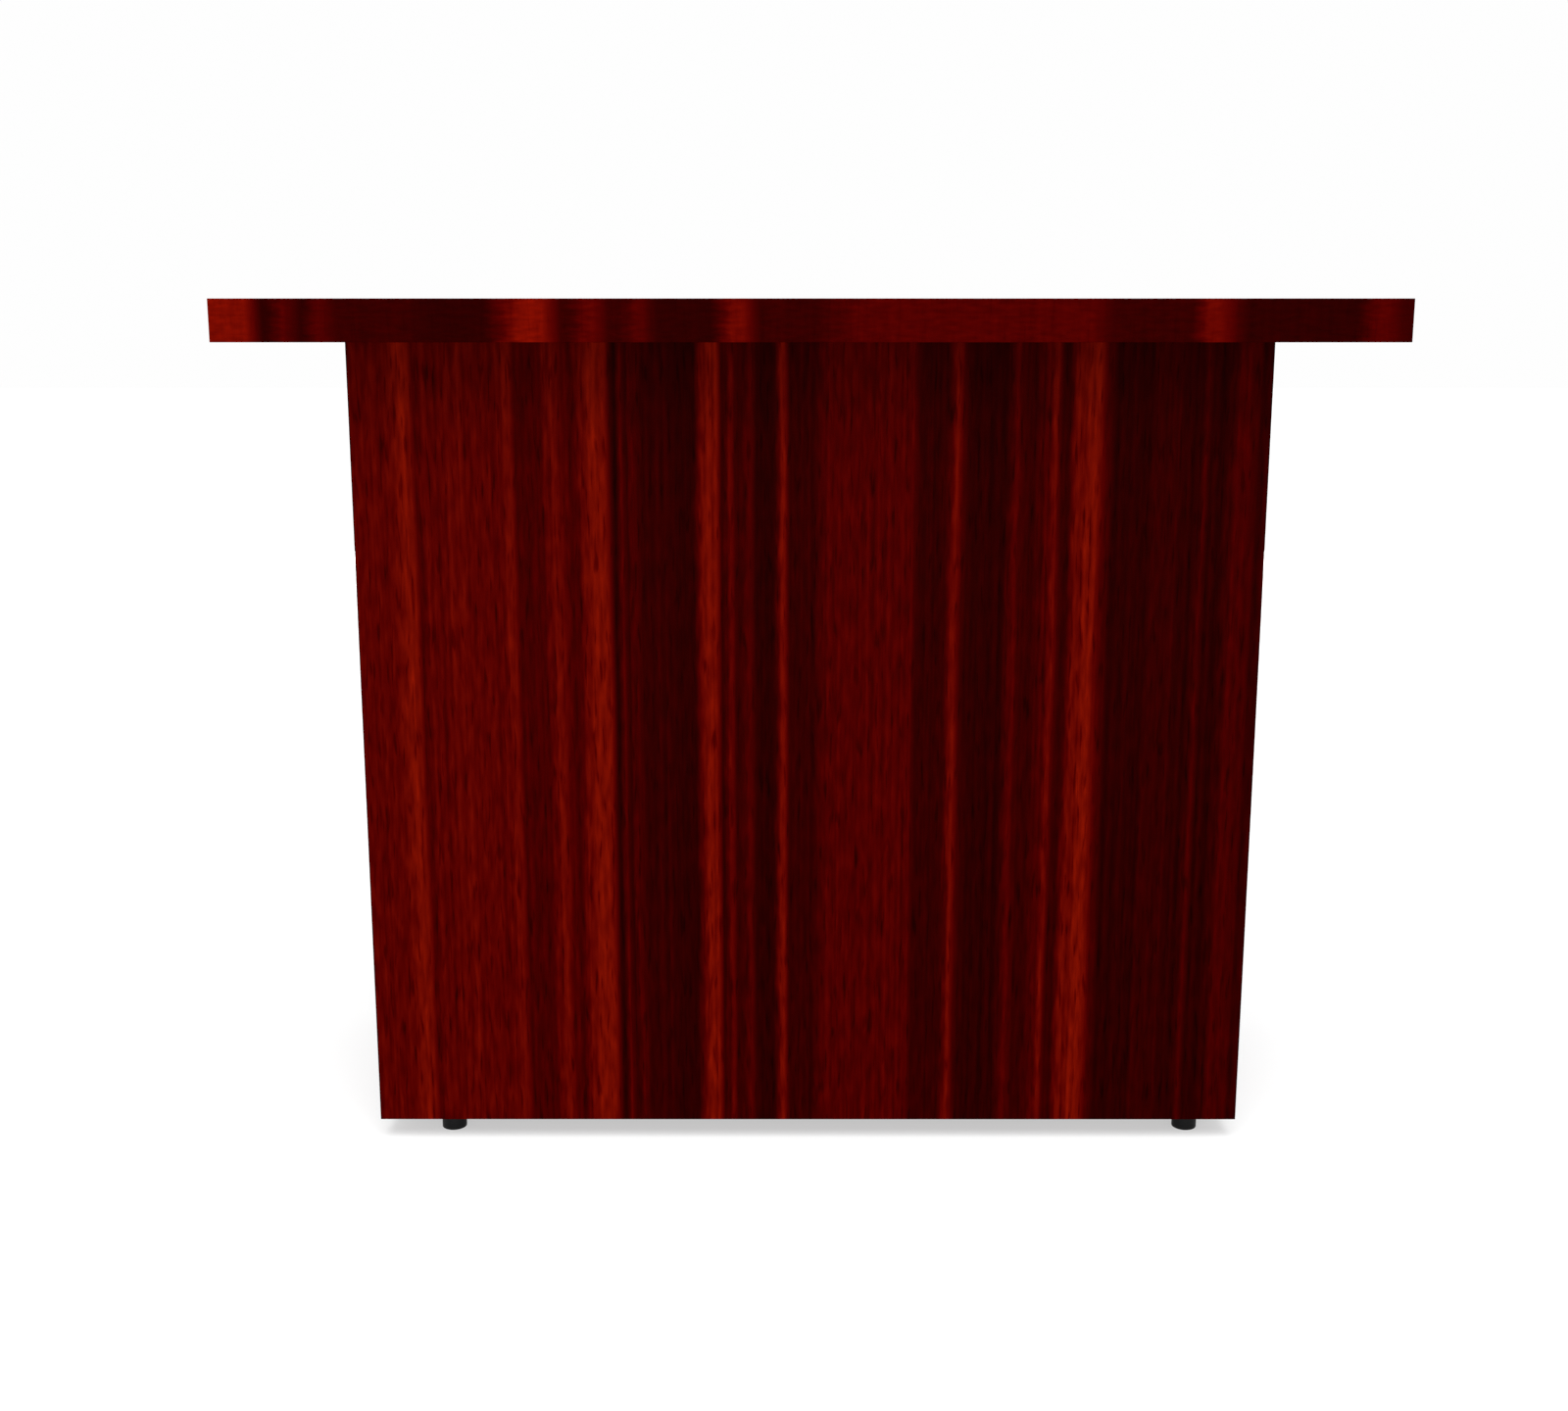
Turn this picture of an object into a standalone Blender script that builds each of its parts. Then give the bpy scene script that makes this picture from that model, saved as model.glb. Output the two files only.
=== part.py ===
"""Broad wooden pulpit: a thick overhanging desk top on an open-backed cabinet, on four levelling feet.

Metres, +Z up. The front, which faces the congregation, looks along -Y, and left is -X.
The origin is on the floor, below the middle of the desk top.
"""

import math

import bmesh
import bpy
from mathutils import Matrix, Vector

# Seating gap or glue line between two faces that meet, and the running gap round a pin.
SEAT = 0.0003
# How far a cutter runs past the face that it opens.
OVERCUT = 0.004
# Two coordinates nearer than this are the same place.
TOUCH = 1e-6
# A corner sharper than this shows as an edge on a turned piece.
SHARP_CORNER = math.radians(35)

# Desk top: two boards glued face to face, with an edge band all round.
TOP_WIDTH = 1.400
TOP_DEPTH = 0.600
TOP_THICKNESS = 0.050
EDGE_BAND = 0.002

# Cabinet below it.
BODY_WIDTH = 1.114
BODY_DEPTH = 0.472
BODY_HEIGHT = 0.996
FRONT_OVERHANG = 0.064
PANEL = 0.025
LIPPING = 0.001
EASED_EDGE = 0.0005
EASED_STEPS = 2
ROUND_PROFILE = 0.5

# Base panel, which sits in rebates in the front and side panels.
REBATE = 0.008
BASE_SETBACK = 0.012

# Rear rail with a stub tenon at each end.
RAIL_HEIGHT = 0.090
RAIL_SETBACK = 0.020
TENON_LENGTH = 0.012
TENON_CHEEK = 0.007
TENON_SHOULDER = 0.015

# Cleats that hold the desk top down, and their screws.
CLEAT_WIDTH = 0.028
CLEAT_HEIGHT = 0.040
CLEAT_END_GAP = 0.030
SCREW_RADIUS = 0.0024
SCREW_HEAD_RADIUS = 0.0048
SCREW_HEAD_HEIGHT = 0.0030
SCREW_COVER = 0.008
SCREW_TIP = 0.004
SCREW_END_GAP = 0.070
SCREW_SIDES = 12

# Book shelf on four pins, with spare pin holes above and below.
SHELF_THICKNESS = 0.025
SHELF_UNDERSIDE = 0.640
SHELF_REAR_SETBACK = 0.050
SHELF_PLAY = 0.002
PIN_RADIUS = 0.0025
PIN_IN_PANEL = 0.010
PIN_OUT = 0.012
PIN_COLLAR_RADIUS = 0.0045
PIN_COLLAR_LENGTH = 0.0012
PIN_END_GAP = 0.060
PIN_PITCH = 0.032
PIN_SPARES = 2
PIN_SIDES = 12

# Cam fittings that draw the side panels against the front panel.
CAM_COUNT = 3
CAM_END_GAP = 0.110
CAM_RADIUS = 0.0075
CAM_DEPTH = 0.0125
CAM_BACKSET = 0.034
CAM_SIDES = 20
CAM_SLOT_WIDTH = 0.0016
CAM_SLOT_LENGTH = 0.0090
CAM_SLOT_DEPTH = 0.0020
BOLT_OFFSET = 0.008
BOLT_GRIP = 0.011
BOLT_THREAD_RADIUS = 0.0030
BOLT_COLLAR_RADIUS = 0.0037
BOLT_COLLAR_LENGTH = 0.0015
BOLT_SHANK_RADIUS = 0.0026
BOLT_HEAD_RADIUS = 0.0033
BOLT_HEAD_LENGTH = 0.0030
BOLT_SIDES = 12

# Wooden dowels between the cams, which line the side panels up with the front panel.
DOWEL_RADIUS = 0.004
DOWEL_IN_FRONT = 0.012
DOWEL_IN_SIDE = 0.026
DOWEL_CHAMFER = 0.001
DOWEL_SIDES = 12

# Levelling feet. They stand a little to the right of the cabinet's middle, as its builder set them.
FLOOR_GAP = 0.027
FOOT_RADIUS = 0.016
FOOT_CHAMFER = 0.0008
FOOT_SIDES = 32
FOOT_FRONT_SETBACK = 0.042
FOOT_REAR_SETBACK = 0.055
FOOT_LEFT_INSET = 0.0885
FOOT_RIGHT_INSET = 0.0575
FOOT_LIP = 0.003
COLLAR_HEIGHT = 0.0045
COLLAR_FLATS = 0.014
STEM_RADIUS = 0.005
STEM_NECK_RADIUS = 0.004
STEM_BULB_RADIUS = 0.0055
STEM_BULB_HEIGHT = 0.005
STEM_TOP_RECESS = 0.002
STEM_CHAMFER = 0.001
STEM_SIDES = 16
HEX_KEY_FLATS = 0.005
HEX_KEY_DEPTH = 0.006
INSERT_RADIUS = 0.007
INSERT_COVER = 0.005
FLANGE_RADIUS = 0.013
FLANGE_THICKNESS = 0.0015
HOLE_SIDES = 16

# Levels.
BODY_BOTTOM = FLOOR_GAP
BODY_TOP = BODY_BOTTOM + BODY_HEIGHT
BASE_TOP = BODY_BOTTOM + PANEL
TOP_UNDER = BODY_TOP + SEAT
TOP_SURFACE = TOP_UNDER + TOP_THICKNESS
TOP_BOARD = (TOP_THICKNESS - SEAT) / 2
SHELF_TOP = SHELF_UNDERSIDE + SHELF_THICKNESS
PIN_HEIGHT = SHELF_UNDERSIDE - SEAT - PIN_RADIUS

# Upright planes: y from front to rear, and x as a half width.
TOP_FRONT = -TOP_DEPTH / 2
BODY_FRONT = TOP_FRONT + FRONT_OVERHANG
FRONT_BACK = BODY_FRONT + PANEL
SIDE_FRONT = FRONT_BACK + SEAT
BODY_REAR = BODY_FRONT + BODY_DEPTH
SIDE_REAR = BODY_REAR - LIPPING - SEAT
BASE_REAR = BODY_REAR - BASE_SETBACK
RAIL_REAR = BODY_REAR - RAIL_SETBACK
RAIL_FRONT = RAIL_REAR - PANEL
SHELF_REAR = BODY_REAR - SHELF_REAR_SETBACK
BODY_HALF = BODY_WIDTH / 2
INNER_HALF = BODY_HALF - PANEL
BASE_HALF = INNER_HALF + REBATE - SEAT
SHELF_HALF = INNER_HALF - SHELF_PLAY

# Levelling foot, from the floor up.
FLANGE_UNDER = BODY_BOTTOM - SEAT - FLANGE_THICKNESS
COLLAR_TOP = FLANGE_UNDER - SEAT
COLLAR_UNDER = COLLAR_TOP - COLLAR_HEIGHT
FOOT_HEIGHT = COLLAR_UNDER - SEAT
BULB_TOP = FOOT_HEIGHT - FOOT_LIP - SEAT
BULB_UNDER = BULB_TOP - STEM_BULB_HEIGHT
STEM_TOP = BASE_TOP - STEM_TOP_RECESS
INSERT_HEIGHT = PANEL - INSERT_COVER

# A box's faces along x, y and z, lowest first.
FACES = (("left", "right"), ("front", "rear"), ("under", "top"))


def clear_scene():
    """Removes whatever the open file holds, so that the pulpit stands alone."""
    for obj in list(bpy.data.objects):
        bpy.data.objects.remove(obj, do_unlink=True)


def make_material(name, colour, roughness, metallic=0.0):
    """A plain surface finish."""
    material = bpy.data.materials.new(name)
    material.use_nodes = True
    shader = material.node_tree.nodes["Principled BSDF"]
    shader.inputs["Base Color"].default_value = (*colour, 1.0)
    shader.inputs["Roughness"].default_value = roughness
    shader.inputs["Metallic"].default_value = metallic
    return material


def add_object(name, shape, material=None, location=(0, 0, 0), parent=None):
    """Turns a bmesh into a named object, which it places."""
    mesh = bpy.data.meshes.new(name)
    shape.to_mesh(mesh)
    shape.free()
    if material:
        mesh.materials.append(material)
    obj = bpy.data.objects.new(name, mesh)
    bpy.context.scene.collection.objects.link(obj)
    obj.location = location
    obj.parent = parent
    return obj


def add_box(shape, low, high):
    """Adds a box between two corners to a bmesh."""
    low, high = Vector(low), Vector(high)
    place = Matrix.Translation((low + high) / 2) @ Matrix.Diagonal((*(high - low), 1))
    return bmesh.ops.create_cube(shape, size=1.0, matrix=place)["verts"]


def aim(point, direction):
    """The matrix that stands local +Z along direction, from point."""
    turned = Vector((0, 0, 1)).rotation_difference(Vector(direction))
    return Matrix.Translation(point) @ turned.to_matrix().to_4x4()


def add_turned(shape, profile, sides, place=None):
    """Adds the solid that a profile sweeps round local Z: (radius, height) pairs that start and end on
    the axis, or that go round a ring's section, with the outer wall rising."""
    place = place or Matrix.Identity(4)
    rings = []
    for radius, height in profile:
        count = sides if radius > TOUCH else 1
        angles = [2 * math.pi * k / sides for k in range(count)]
        corners = [(radius * math.cos(a), radius * math.sin(a), height) for a in angles]
        rings.append([shape.verts.new(place @ Vector(corner)) for corner in corners])
    if profile[0][0] > TOUCH:
        rings.append(rings[0])
    for low, high in zip(rings, rings[1:]):
        for k in range(sides):
            after = k + 1
            corners = [low[k % len(low)], low[after % len(low)], high[after % len(high)], high[k % len(high)]]
            shape.faces.new(list(dict.fromkeys(corners)))


def add_hole(shape, mouth, direction, radius, depth):
    """Adds a round hole's cutter to a bmesh: it goes depth into the part from its mouth, along direction."""
    profile = [(0, -OVERCUT), (radius, -OVERCUT), (radius, depth), (0, depth)]
    add_turned(shape, profile, HOLE_SIDES, aim(mouth, direction))


def add_prism(shape, flats, bottom, top):
    """Adds an upright six-sided prism, by its width across flats."""
    radius = flats / math.sqrt(3)
    add_turned(shape, [(0, bottom), (radius, bottom), (radius, top), (0, top)], 6)


def board(name, low, high, material, exposed=()):
    """A board between two corners. The edges where two exposed faces meet are eased."""
    low, high = Vector(low), Vector(high)
    size = high - low
    shape = bmesh.new()
    add_box(shape, -size / 2, size / 2)
    eased = []
    for edge in shape.edges:
        middle = (edge.verts[0].co + edge.verts[1].co) / 2
        meeting = [
            FACES[axis][middle[axis] > 0] for axis in range(3) if abs(abs(middle[axis]) - size[axis] / 2) < TOUCH
        ]
        if all(face in exposed for face in meeting):
            eased.append(edge)
    if eased:
        bmesh.ops.bevel(
            shape, geom=eased, offset=EASED_EDGE, segments=EASED_STEPS, profile=ROUND_PROFILE, affect="EDGES"
        )
    return add_object(name, shape, material, (low + high) / 2)


def turned_piece(name, profile, sides, material, place=None, parent=None):
    """A turned piece, shaded smooth between its corners."""
    shape = bmesh.new()
    add_turned(shape, profile, sides)
    obj = add_object(name, shape, material, parent=parent)
    if place:
        obj.matrix_world = place
    obj.data.shade_smooth()
    obj.data.set_sharp_from_angle(angle=SHARP_CORNER)
    return obj


def combine(obj, name, shape, operation="DIFFERENCE"):
    """Cuts a bmesh out of an object, or joins it on. The bmesh is in the frame of the object's parent."""
    tool = add_object(name, shape, parent=obj.parent)
    tool.hide_render = True
    tool.display_type = "WIRE"
    modifier = obj.modifiers.new(name, "BOOLEAN")
    modifier.operation = operation
    modifier.object = tool


def both_sides():
    """The cabinet's two sides, each with the sign of its x."""
    return ("left", -1), ("right", 1)


def spread(start, end, count):
    """Evenly spaced places from start to end."""
    return [start + (end - start) * k / (count - 1) for k in range(count)]


def cam_heights():
    return spread(BODY_BOTTOM + CAM_END_GAP, BODY_TOP - CAM_END_GAP, CAM_COUNT)


def dowel_heights():
    """Half way between neighbouring cams."""
    cams = cam_heights()
    return [(low + high) / 2 for low, high in zip(cams, cams[1:])]


def pin_places():
    """The y of the front and rear shelf pins."""
    return {"front": FRONT_BACK + PIN_END_GAP, "rear": SHELF_REAR - PIN_END_GAP}


def foot_places():
    """Where each levelling foot's axis meets the floor."""
    across = {"left": -BODY_HALF + FOOT_LEFT_INSET, "right": BODY_HALF - FOOT_RIGHT_INSET}
    along = {"front": BODY_FRONT + FOOT_FRONT_SETBACK, "rear": BODY_REAR - FOOT_REAR_SETBACK}
    return {f"{row}_{side}": (x, y, 0) for row, y in along.items() for side, x in across.items()}


def screw_places():
    """Where each desk-top screw's head sits, on the underside of its cleat."""
    level = BODY_TOP - CLEAT_HEIGHT
    front_y = FRONT_BACK + SEAT + CLEAT_WIDTH / 2
    side_x = INNER_HALF - SEAT - CLEAT_WIDTH / 2
    front_x = INNER_HALF - CLEAT_END_GAP - SCREW_END_GAP
    side_ends = {"fore": side_cleat_front() + SCREW_END_GAP, "aft": side_cleat_rear() - SCREW_END_GAP}
    places = {}
    for side, sign in both_sides():
        places[f"front_{side}"] = ("front", (sign * front_x, front_y, level))
        for end, y in side_ends.items():
            places[f"{side}_{end}"] = (side, (sign * side_x, y, level))
    return places


def side_cleat_front():
    return FRONT_BACK + SEAT + CLEAT_WIDTH + CLEAT_END_GAP


def side_cleat_rear():
    return RAIL_FRONT - CLEAT_END_GAP


def screw_profile(gap=0.0, extra_below=0.0):
    """The countersunk screw's outline from its head up, or its hole's, with a gap all round."""
    length = CLEAT_HEIGHT + SEAT + TOP_BOARD - SCREW_COVER
    head, shank = SCREW_HEAD_RADIUS + gap, SCREW_RADIUS + gap
    outline = [(0, -extra_below), (head, -extra_below)]
    if extra_below:
        outline.append((head, gap))
    outline += [(shank, SCREW_HEAD_HEIGHT + gap), (shank, length - SCREW_TIP), (0, length + gap)]
    return outline


def build_top(veneer, lipping):
    """Two boards glued face to face, an edge band on each side, and pilot holes for the cleats' screws."""
    half_width, half_depth = TOP_WIDTH / 2, TOP_DEPTH / 2
    board_x = half_width - EDGE_BAND - SEAT
    board_y = half_depth - EDGE_BAND - SEAT
    lower_top = TOP_UNDER + TOP_BOARD
    lower = board("top_lower_board", (-board_x, -board_y, TOP_UNDER), (board_x, board_y, lower_top), veneer)
    board("top_upper_board", (-board_x, -board_y, lower_top + SEAT), (board_x, board_y, TOP_SURFACE), veneer)

    for face, sign in {"front": -1, "rear": 1}.items():
        near, far = sorted((sign * half_depth, sign * (half_depth - EDGE_BAND)))
        low, high = (-half_width, near, TOP_UNDER), (half_width, far, TOP_SURFACE)
        board(f"top_{face}_edge_band", low, high, lipping, exposed=(face, "top", "under", "left", "right"))
    for face, sign in both_sides():
        near, far = sorted((sign * half_width, sign * (half_width - EDGE_BAND)))
        low, high = (near, -board_y, TOP_UNDER), (far, board_y, TOP_SURFACE)
        board(f"top_{face}_edge_band", low, high, lipping, exposed=(face, "top", "under"))

    pilots = bmesh.new()
    for _, (x, y, level) in screw_places().values():
        add_turned(pilots, screw_profile(SEAT), HOLE_SIDES, Matrix.Translation((x, y, level)))
    combine(lower, "top_pilot_holes", pilots)


def build_front(veneer, lipping):
    """The front panel, rebated for the base and bored for its fittings, with its two edge lippings."""
    panel_half = BODY_HALF - LIPPING - SEAT
    low, high = (-panel_half, BODY_FRONT, BODY_BOTTOM), (panel_half, FRONT_BACK, BODY_TOP)
    panel = board("front_panel", low, high, veneer, exposed=("front", "under"))
    cuts = bmesh.new()
    add_box(
        cuts,
        (-INNER_HALF - REBATE, FRONT_BACK - REBATE, BODY_BOTTOM - OVERCUT),
        (INNER_HALF + REBATE, FRONT_BACK + OVERCUT, BASE_TOP + SEAT),
    )
    for _, sign in both_sides():
        for z in cam_heights():
            mouth = (sign * (INNER_HALF + BOLT_OFFSET), FRONT_BACK, z)
            add_hole(cuts, mouth, (0, -1, 0), BOLT_THREAD_RADIUS + SEAT, BOLT_GRIP)
        for z in dowel_heights():
            mouth = (sign * (INNER_HALF + PANEL / 2), FRONT_BACK, z)
            add_hole(cuts, mouth, (0, -1, 0), DOWEL_RADIUS + SEAT, DOWEL_IN_FRONT)
    combine(panel, "front_panel_cuts", cuts)

    for side, sign in both_sides():
        near, far = sorted((sign * BODY_HALF, sign * (BODY_HALF - LIPPING)))
        low, high = (near, BODY_FRONT, BODY_BOTTOM), (far, FRONT_BACK, BODY_TOP)
        board(f"front_panel_{side}_lipping", low, high, lipping, exposed=(side, "front", "under"))


def build_side(side, sign, veneer, lipping):
    """A side panel, bored and pocketed for its fittings, rebated for the base, mortised for the rail."""
    inward = (sign, 0, 0)
    near, far = sorted((sign * INNER_HALF, sign * BODY_HALF))
    other = "right" if side == "left" else "left"
    low, high = (near, SIDE_FRONT, BODY_BOTTOM), (far, SIDE_REAR, BODY_TOP)
    panel = board(f"{side}_side_panel", low, high, veneer, exposed=(side, other, "under"))

    pockets = bmesh.new()
    for z in cam_heights():
        mouth = (sign * INNER_HALF, SIDE_FRONT + CAM_BACKSET, z)
        add_hole(pockets, mouth, inward, CAM_RADIUS + SEAT, SEAT + CAM_DEPTH + SEAT)
    for y in pin_places().values():
        for step in range(-PIN_SPARES, PIN_SPARES + 1):
            mouth = (sign * INNER_HALF, y, PIN_HEIGHT + step * PIN_PITCH)
            add_hole(pockets, mouth, inward, PIN_RADIUS + SEAT, PIN_IN_PANEL + SEAT)
    rebate_x = sorted((sign * (INNER_HALF - OVERCUT), sign * (INNER_HALF + REBATE)))
    add_box(
        pockets,
        (rebate_x[0], SIDE_FRONT - OVERCUT, BODY_BOTTOM - OVERCUT),
        (rebate_x[1], BASE_REAR + SEAT, BASE_TOP + SEAT),
    )
    mortise_x = sorted((sign * (INNER_HALF - OVERCUT), sign * (INNER_HALF + TENON_LENGTH + SEAT)))
    tenon_low, tenon_high = tenon_section()
    add_box(
        pockets,
        (mortise_x[0], tenon_low[0] - SEAT, tenon_low[1] - SEAT),
        (mortise_x[1], tenon_high[0] + SEAT, tenon_high[1] + SEAT),
    )
    combine(panel, f"{side}_side_pockets", pockets)

    bores = bmesh.new()
    for z in cam_heights():
        mouth = (sign * (INNER_HALF + BOLT_OFFSET), SIDE_FRONT, z)
        add_hole(bores, mouth, (0, 1, 0), BOLT_COLLAR_RADIUS + SEAT, CAM_BACKSET)
    for z in dowel_heights():
        mouth = (sign * (INNER_HALF + PANEL / 2), SIDE_FRONT, z)
        add_hole(bores, mouth, (0, 1, 0), DOWEL_RADIUS + SEAT, DOWEL_IN_SIDE + SEAT)
    combine(panel, f"{side}_side_bores", bores)

    low, high = (near, BODY_REAR - LIPPING, BODY_BOTTOM), (far, BODY_REAR, BODY_TOP)
    board(f"{side}_side_rear_lipping", low, high, lipping, exposed=(side, other, "rear", "under"))


def tenon_section():
    """The rail tenon's lowest and highest (y, z)."""
    low = RAIL_FRONT + TENON_CHEEK, BODY_TOP - RAIL_HEIGHT + TENON_SHOULDER
    high = RAIL_REAR - TENON_CHEEK, BODY_TOP - TENON_SHOULDER
    return low, high


def build_rail(veneer):
    """The rear rail under the desk top, with a stub tenon in each side panel."""
    half = INNER_HALF - SEAT
    low, high = (-half, RAIL_FRONT, BODY_TOP - RAIL_HEIGHT), (half, RAIL_REAR, BODY_TOP)
    rail = board("rear_rail", low, high, veneer, exposed=("front", "rear", "under"))
    tenon_low, tenon_high = tenon_section()
    tenons = bmesh.new()
    for _, sign in both_sides():
        ends = sorted((sign * (half - OVERCUT), sign * (INNER_HALF + TENON_LENGTH)))
        add_box(tenons, (ends[0], *tenon_low), (ends[1], *tenon_high))
    combine(rail, "rear_rail_tenons", tenons, "UNION")


def build_base(veneer, lipping):
    """The base panel, bored for the feet's threaded inserts, with a lipping on its rear edge."""
    panel_rear = BASE_REAR - LIPPING - SEAT
    low = (-BASE_HALF, FRONT_BACK - REBATE + SEAT, BODY_BOTTOM)
    panel = board("base_panel", low, (BASE_HALF, panel_rear, BASE_TOP), veneer)
    barrel, bore = INSERT_RADIUS + SEAT, STEM_RADIUS + SEAT
    barrel_top = INSERT_HEIGHT + SEAT
    outline = [(0, -OVERCUT), (barrel, -OVERCUT), (barrel, barrel_top), (bore, barrel_top)]
    outline += [(bore, PANEL + OVERCUT), (0, PANEL + OVERCUT)]
    holes = bmesh.new()
    for x, y, _ in foot_places().values():
        add_turned(holes, outline, HOLE_SIDES, Matrix.Translation((x, y, BODY_BOTTOM)))
    combine(panel, "base_insert_holes", holes)
    low, high = (-BASE_HALF, BASE_REAR - LIPPING, BODY_BOTTOM), (BASE_HALF, BASE_REAR, BASE_TOP)
    board("base_rear_lipping", low, high, lipping)


def build_shelf(veneer, lipping, steel):
    """The book shelf, its rear lipping, and the four pins that carry it."""
    panel_rear = SHELF_REAR - LIPPING - SEAT
    low = (-SHELF_HALF, SIDE_FRONT, SHELF_UNDERSIDE)
    board("book_shelf", low, (SHELF_HALF, panel_rear, SHELF_TOP), veneer, exposed=("left", "right", "under"))
    low, high = (-SHELF_HALF, SHELF_REAR - LIPPING, SHELF_UNDERSIDE), (SHELF_HALF, SHELF_REAR, SHELF_TOP)
    board("shelf_rear_lipping", low, high, lipping, exposed=("rear", "top", "under"))

    collar_top = -SEAT
    collar_under = collar_top - PIN_COLLAR_LENGTH
    outline = [(0, -PIN_OUT), (PIN_RADIUS, -PIN_OUT), (PIN_RADIUS, collar_under)]
    outline += [(PIN_COLLAR_RADIUS, collar_under), (PIN_COLLAR_RADIUS, collar_top)]
    outline += [(PIN_RADIUS, collar_top), (PIN_RADIUS, PIN_IN_PANEL), (0, PIN_IN_PANEL)]
    for side, sign in both_sides():
        for row, y in pin_places().items():
            place = aim((sign * INNER_HALF, y, PIN_HEIGHT), (sign, 0, 0))
            turned_piece(f"shelf_pin_{row}_{side}", outline, PIN_SIDES, steel, place)


def build_cleats(batten, steel):
    """Three battens inside the cabinet's head, and the screws that go up through them into the top."""
    under = BODY_TOP - CLEAT_HEIGHT
    half = INNER_HALF - CLEAT_END_GAP
    front_low = (-half, FRONT_BACK + SEAT, under)
    front_high = (half, FRONT_BACK + SEAT + CLEAT_WIDTH, BODY_TOP)
    cleats = {"front": board("front_cleat", front_low, front_high, batten)}
    for side, sign in both_sides():
        near, far = sorted((sign * (INNER_HALF - SEAT), sign * (INNER_HALF - SEAT - CLEAT_WIDTH)))
        low, high = (near, side_cleat_front(), under), (far, side_cleat_rear(), BODY_TOP)
        cleats[side] = board(f"{side}_cleat", low, high, batten)

    holes = {name: bmesh.new() for name in cleats}
    for screw, (cleat, head) in screw_places().items():
        place = Matrix.Translation(head)
        add_turned(holes[cleat], screw_profile(SEAT, OVERCUT), HOLE_SIDES, place)
        turned_piece(f"top_screw_{screw}", screw_profile(), SCREW_SIDES, steel, place)
    for name, obj in cleats.items():
        combine(obj, f"{name}_cleat_holes", holes[name])


def bolt_profile():
    """The cam bolt's outline from its thread's tip to its head, from the front panel's back face."""
    tip = SEAT - BOLT_GRIP
    collar_top = SEAT + BOLT_COLLAR_LENGTH
    end = SEAT + CAM_BACKSET + BOLT_HEAD_LENGTH / 2
    head = end - BOLT_HEAD_LENGTH
    return [
        (0, tip),
        (BOLT_THREAD_RADIUS, tip),
        (BOLT_THREAD_RADIUS, SEAT),
        (BOLT_COLLAR_RADIUS, SEAT),
        (BOLT_COLLAR_RADIUS, collar_top),
        (BOLT_SHANK_RADIUS, collar_top),
        (BOLT_SHANK_RADIUS, head),
        (BOLT_HEAD_RADIUS, head),
        (BOLT_HEAD_RADIUS, end),
        (0, end),
    ]


def build_cam(name, sign, z, zinc):
    """A cam disc in a side panel's inner face, bored for the bolt's head and slotted for a driver."""
    face, y = sign * (INNER_HALF + SEAT), SIDE_FRONT + CAM_BACKSET
    outline = [(0, 0), (CAM_RADIUS, 0), (CAM_RADIUS, CAM_DEPTH), (0, CAM_DEPTH)]
    cam = turned_piece(name, outline, CAM_SIDES, zinc, aim((face, y, z), (sign, 0, 0)))

    cuts = bmesh.new()
    mouth = (sign * (INNER_HALF + BOLT_OFFSET), y - CAM_RADIUS, z)
    depth = CAM_RADIUS + BOLT_HEAD_LENGTH / 2 + SEAT
    add_hole(cuts, mouth, (0, 1, 0), BOLT_HEAD_RADIUS + SEAT, depth)
    slot_x = sorted((face - sign * OVERCUT, face + sign * CAM_SLOT_DEPTH))
    add_box(
        cuts,
        (slot_x[0], y - CAM_SLOT_LENGTH / 2, z - CAM_SLOT_WIDTH / 2),
        (slot_x[1], y + CAM_SLOT_LENGTH / 2, z + CAM_SLOT_WIDTH / 2),
    )
    combine(cam, f"{name}_cuts", cuts)


def build_fittings(zinc, beech):
    """The cams, cam bolts and dowels between the front and side panels, numbered from below."""
    dowel_end = SEAT + DOWEL_IN_SIDE
    dowel_start = SEAT - DOWEL_IN_FRONT
    slim = DOWEL_RADIUS - DOWEL_CHAMFER
    dowel = [(0, dowel_start), (slim, dowel_start), (DOWEL_RADIUS, dowel_start + DOWEL_CHAMFER)]
    dowel += [(DOWEL_RADIUS, dowel_end - DOWEL_CHAMFER), (slim, dowel_end), (0, dowel_end)]
    for side, sign in both_sides():
        for number, z in enumerate(cam_heights(), 1):
            build_cam(f"cam_{side}_{number}", sign, z, zinc)
            place = aim((sign * (INNER_HALF + BOLT_OFFSET), FRONT_BACK, z), (0, 1, 0))
            turned_piece(f"cam_bolt_{side}_{number}", bolt_profile(), BOLT_SIDES, zinc, place)
        for number, z in enumerate(dowel_heights(), 1):
            place = aim((sign * (INNER_HALF + PANEL / 2), FRONT_BACK, z), (0, 1, 0))
            turned_piece(f"dowel_{side}_{number}", dowel, DOWEL_SIDES, beech, place)


def pad_profile():
    """The foot pad's outline: a chamfered disc with a lipped socket in its top that holds the stem's bulb."""
    slim, socket = FOOT_RADIUS - FOOT_CHAMFER, STEM_BULB_RADIUS + SEAT
    mouth, floor = STEM_NECK_RADIUS + SEAT, BULB_UNDER - SEAT
    return [
        (0, 0),
        (slim, 0),
        (FOOT_RADIUS, FOOT_CHAMFER),
        (FOOT_RADIUS, FOOT_HEIGHT - FOOT_CHAMFER),
        (slim, FOOT_HEIGHT),
        (mouth, FOOT_HEIGHT),
        (mouth, FOOT_HEIGHT - FOOT_LIP),
        (socket, FOOT_HEIGHT - FOOT_LIP),
        (socket, floor),
        (0, floor),
    ]


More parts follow.
